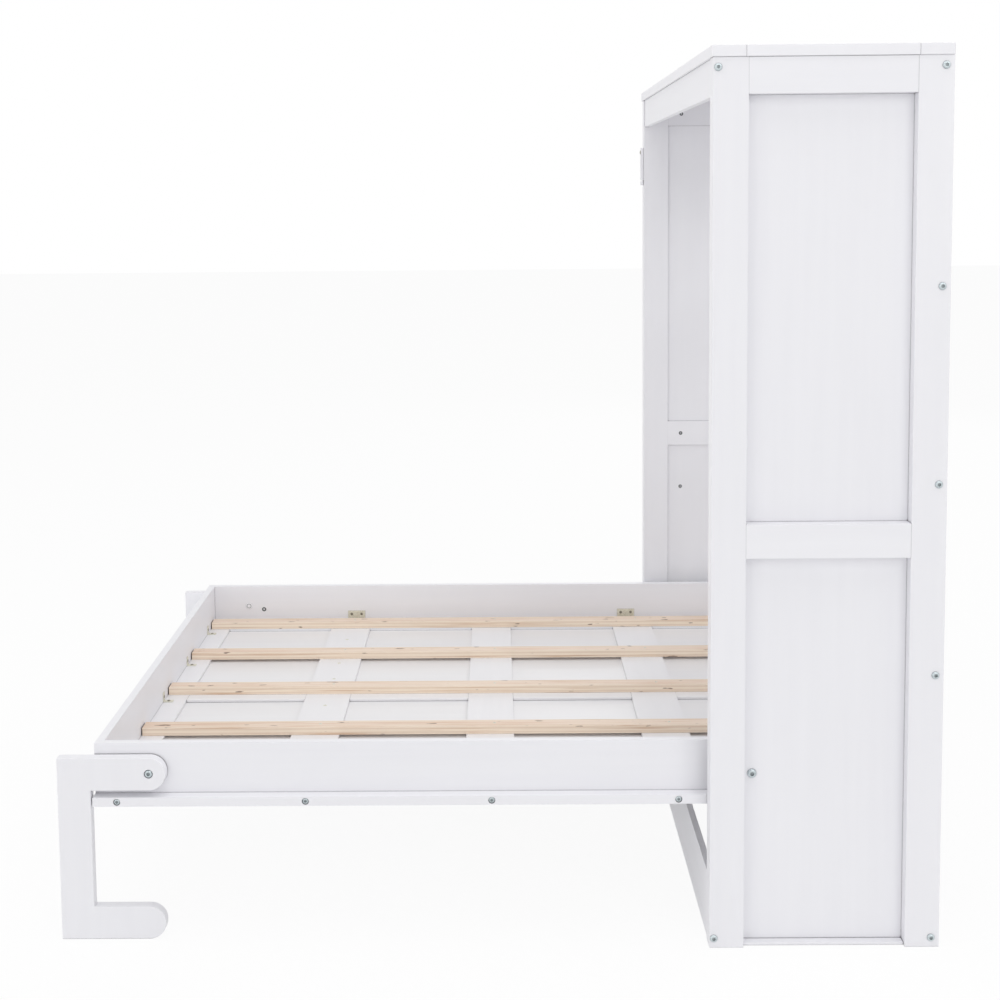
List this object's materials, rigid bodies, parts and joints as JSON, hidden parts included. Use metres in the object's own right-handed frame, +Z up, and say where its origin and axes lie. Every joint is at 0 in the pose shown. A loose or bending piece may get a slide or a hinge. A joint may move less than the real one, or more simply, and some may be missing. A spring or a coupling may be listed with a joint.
{
  "type": "wall bed",
  "caption": "White painted wall bed let down from its shallow cabinet, with framed side panels, a boxed slatted bed frame and turning bracket-shaped legs at the foot",
  "frame": {"origin": "On the floor, in the middle of the footprint of the bed let down with its cabinet", "axes": "X is the width, the foot of the bed points to -Y and the wall is at +Y, Z is up"},
  "size_m": [1.579, 2.089, 2.107],
  "materials": {
    "painted_wood": "satin white paint on wood",
    "slat_wood": "bare layered wood",
    "steel": "bright zinc plate"
  },
  "bodies": {
    "cabinet": {"right_front_stile": "painted_wood", "right_back_stile": "painted_wood", "right_top_rail": "painted_wood", "right_mid_rail": "painted_wood", "right_bottom_strip": "painted_wood", "right_upper_field": "painted_wood", "right_lower_field": "painted_wood", "left_front_stile": "painted_wood", "left_back_stile": "painted_wood", "left_top_rail": "painted_wood", "left_mid_rail": "painted_wood", "left_bottom_strip": "painted_wood", "left_upper_field": "painted_wood", "left_lower_field": "painted_wood", "top_front_board": "painted_wood", "top_middle_board": "painted_wood", "top_back_board": "painted_wood", "valance": "painted_wood", "plinth": "painted_wood", "back_rail_1": "painted_wood", "back_rail_2": "painted_wood", "back_rail_3": "painted_wood", "back_rail_4": "painted_wood", "back_rail_5": "painted_wood", "cabinet_bolts": "steel", "cross_dowels": "steel", "pivot_plates": "steel", "plate_screws": "steel", "panel_inserts": "steel", "latch_screw": "steel", "latch_rest": "painted_wood"},
    "pivots": {"pivot_bolts": "steel"},
    "bed": {"right_side_rail": "painted_wood", "left_side_rail": "painted_wood", "foot_rail": "painted_wood", "head_rail": "painted_wood", "base_right_stile": "painted_wood", "base_left_stile": "painted_wood", "base_foot_rail": "painted_wood", "base_head_rail": "painted_wood", "base_cross_rail_1": "painted_wood", "base_cross_rail_2": "painted_wood", "base_cross_rail_3": "painted_wood", "base_muntins": "painted_wood", "base_panels": "painted_wood", "slat_1": "slat_wood", "slat_2": "slat_wood", "slat_3": "slat_wood", "slat_4": "slat_wood", "slat_5": "slat_wood", "corner_brackets": "steel", "bracket_screws": "steel", "base_bolts": "steel", "rail_inserts": "steel", "pivot_bushes": "steel", "leg_bolts": "steel", "leg_washers": "steel"},
    "right_leg": {"right_leg": "painted_wood"},
    "left_leg": {"left_leg": "painted_wood"},
    "latch": {"latch_button": "painted_wood"}
  },
  "joints": [
    {"name": "pivot_turn", "type": "hinge", "parent": "cabinet", "child": "pivots", "pos_m": [0, 0.607, 0.4125], "axis": [-1, 0, 0], "range_deg": [0, 7]},
    {"name": "bed_fold", "type": "hinge", "parent": "pivots", "child": "bed", "pos_m": [0, 0.607, 0.4125], "axis": [-1, 0, 0], "range_deg": [0, 83]},
    {"name": "right_leg_turn", "type": "hinge", "parent": "bed", "child": "right_leg", "pos_m": [0.719, -0.8255, 0.4085], "axis": [-1, 0, 0], "range_deg": [0, 180]},
    {"name": "left_leg_turn", "type": "hinge", "parent": "bed", "child": "left_leg", "pos_m": [-0.719, -0.8255, 0.4085], "axis": [-1, 0, 0], "range_deg": [0, 180]},
    {"name": "latch_turn", "type": "hinge", "parent": "cabinet", "child": "latch", "pos_m": [-0.761, 0.49975, 1.912], "axis": [0, -1, 0], "range_deg": [0, 90]}
  ],
  "couplings": [
    {"joint": "left_leg_turn", "follows": "right_leg_turn", "ratio": 1},
    {"joint": "pivot_turn", "follows": "right_leg_turn", "ratio": 0.038889}
  ]
}
